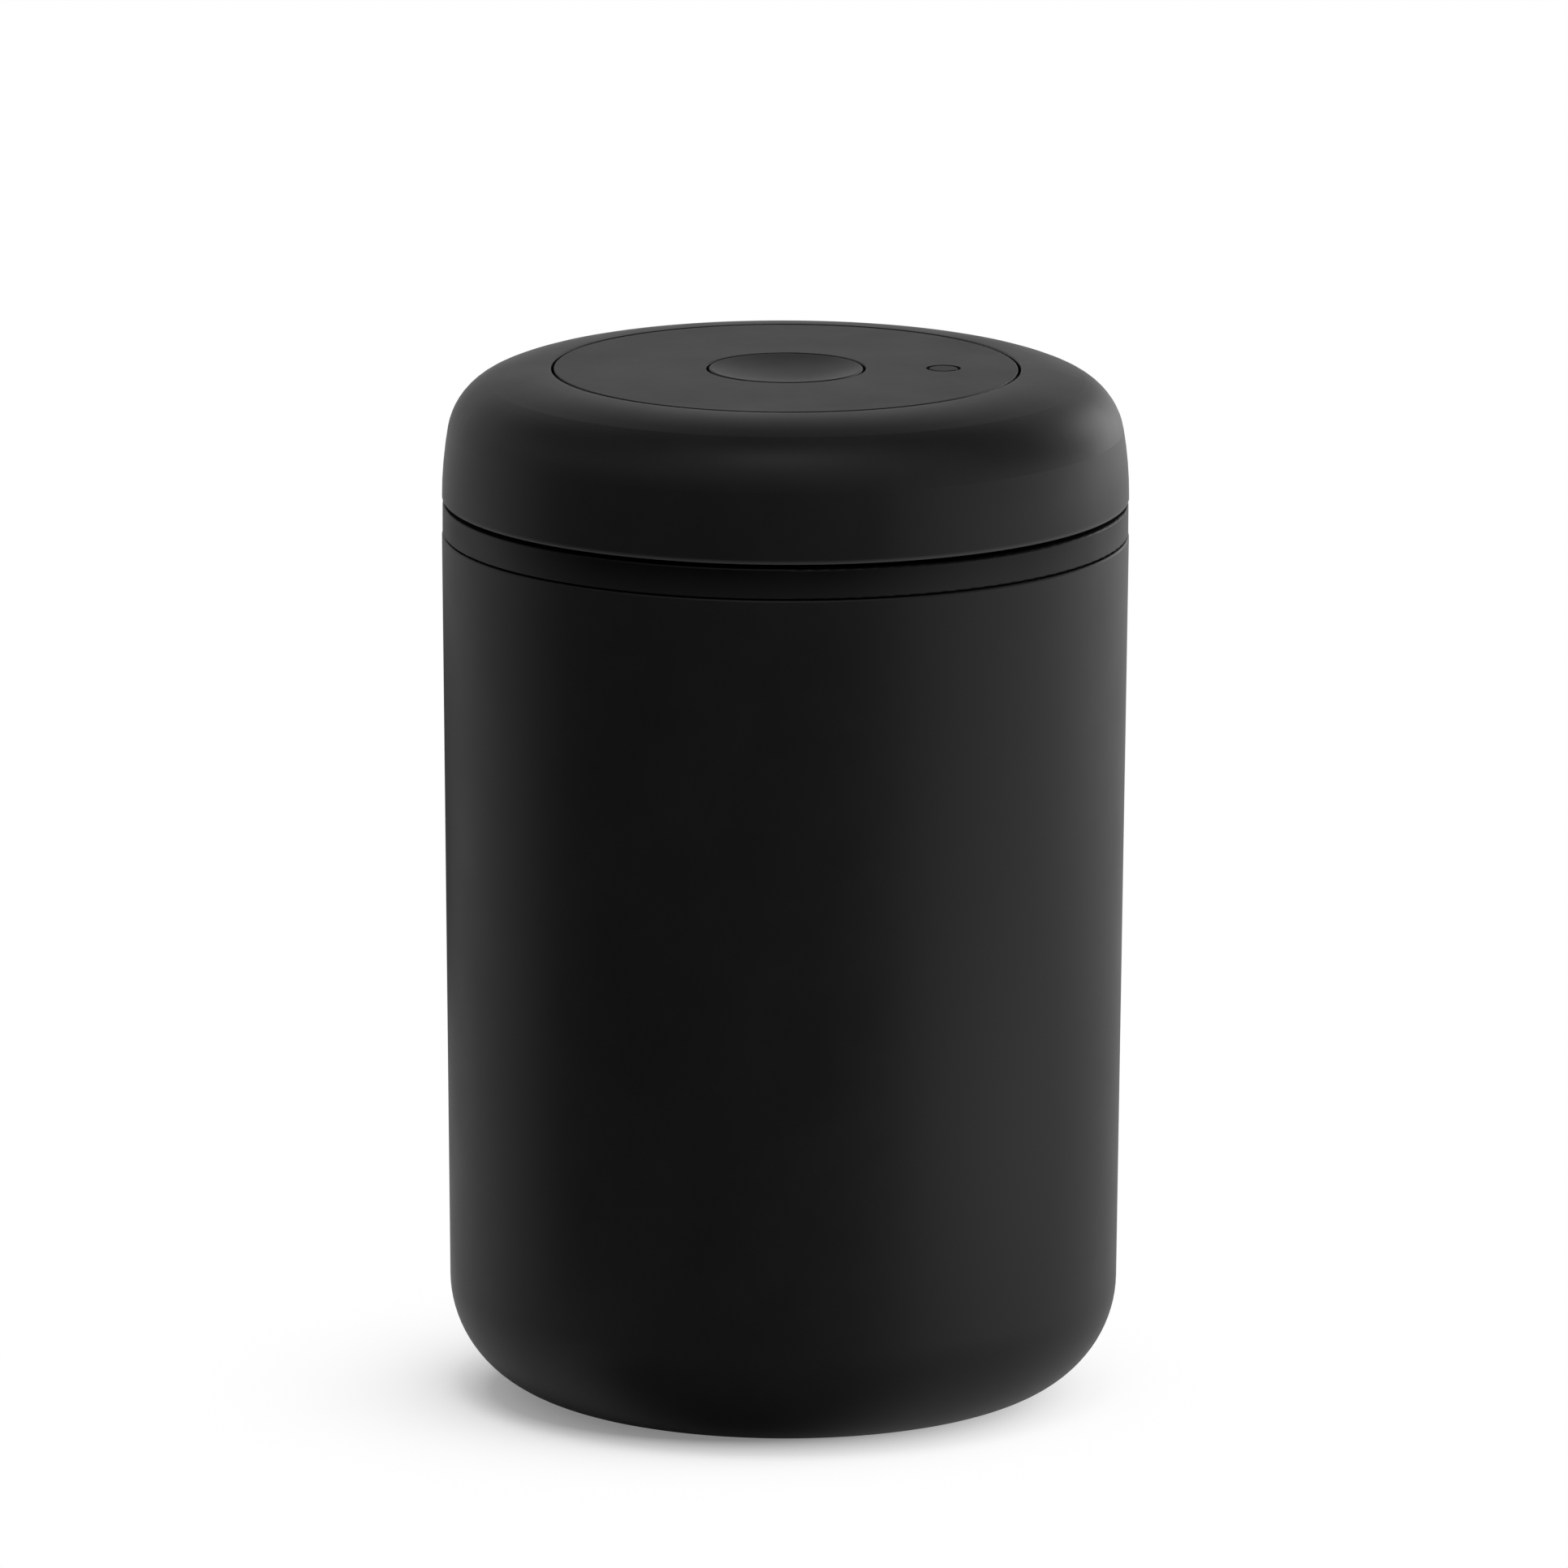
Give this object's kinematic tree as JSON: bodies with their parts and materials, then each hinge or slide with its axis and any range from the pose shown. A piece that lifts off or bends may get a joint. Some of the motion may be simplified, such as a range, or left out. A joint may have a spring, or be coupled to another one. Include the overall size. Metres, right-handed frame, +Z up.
{
  "type": "coffee canister",
  "caption": "Matte black coffee canister: drafted steel body with a rounded base and a twist-to-pump vacuum dome lid with release button and vacuum indicator.",
  "frame": {"origin": "on the table under the centre of the base pad", "axes": "+Z up along the canister's axis; +X towards the vacuum indicator; the picture looks along +Y"},
  "size_m": [0.118, 0.118, 0.1794],
  "materials": {
    "coated_steel": "matte black powder coat outside, brushed bare steel inside",
    "dome_moulding": "soft-touch matte black",
    "plate_moulding": "fine-textured matte black",
    "button_moulding": "fine-textured matte black",
    "indicator_moulding": "satin black",
    "collar_moulding": "moulded matte black",
    "inner_moulding": "moulded dark grey",
    "white_acetal": "moulded natural acetal",
    "grey_silicone": "moulded silicone",
    "dark_silicone": "moulded silicone",
    "clear_silicone": "milky moulded silicone",
    "spring_steel": "drawn wire",
    "screw_steel": "turned",
    "mesh_steel": "fine woven mesh"
  },
  "bodies": {
    "canister": {"canister_body": "coated_steel", "base_pad": "dark_silicone"},
    "lid": {"lid_base": "collar_moulding", "lid_gasket": "grey_silicone", "pump_cylinder": "inner_moulding", "cylinder_seal": "dark_silicone", "inlet_valve": "clear_silicone", "glide_ring": "white_acetal", "bridge_frame": "inner_moulding", "frame_screws": "screw_steel", "top_plate": "plate_moulding", "button_spring": "spring_steel", "indicator_spring": "spring_steel", "indicator_diaphragm": "clear_silicone"},
    "dome": {"twist_dome": "dome_moulding", "cam_drum": "inner_moulding", "drum_screws": "screw_steel"},
    "piston": {"piston": "white_acetal", "piston_outer_seal": "dark_silicone", "piston_inner_seal": "dark_silicone", "outlet_valve": "clear_silicone", "cam_pins": "screw_steel"},
    "button": {"release_button": "button_moulding", "release_stem": "screw_steel", "release_seal": "dark_silicone"},
    "indicator": {"indicator_pin": "indicator_moulding"},
    "filter": {"filter_cap": "collar_moulding", "filter_mesh": "mesh_steel"}
  },
  "joints": [
    {"name": "lid_lift", "type": "slide", "parent": "canister", "child": "lid", "axis": [0, 0, 1], "range_m": [0, 0.11]},
    {"name": "dome_twist", "type": "hinge", "parent": "lid", "child": "dome", "pos_m": [0, 0, 0.165], "axis": [0, 0, 1], "range_deg": [0, 90]},
    {"name": "piston_stroke", "type": "slide", "parent": "lid", "child": "piston", "axis": [0, 0, 1], "range_m": [0, 0.009]},
    {"name": "button_press", "type": "slide", "parent": "lid", "child": "button", "axis": [0, 0, -1], "range_m": [0, 0.0025], "stiffness_N_per_m": 1200, "springref_m": -0.004, "deforming": ["button_spring"]},
    {"name": "indicator_drop", "type": "slide", "parent": "lid", "child": "indicator", "axis": [0, 0, -1], "range_m": [0, 0.002], "stiffness_N_per_m": 150, "springref_m": -0.002, "deforming": ["indicator_spring", "indicator_diaphragm"]},
    {"name": "filter_pull", "type": "slide", "parent": "lid", "child": "filter", "axis": [0, 0, -1], "range_m": [0, 0.015]}
  ],
  "couplings": [
    {"joint": "piston_stroke", "follows": "dome_twist", "m_per_rad": 0.0057295}
  ]
}
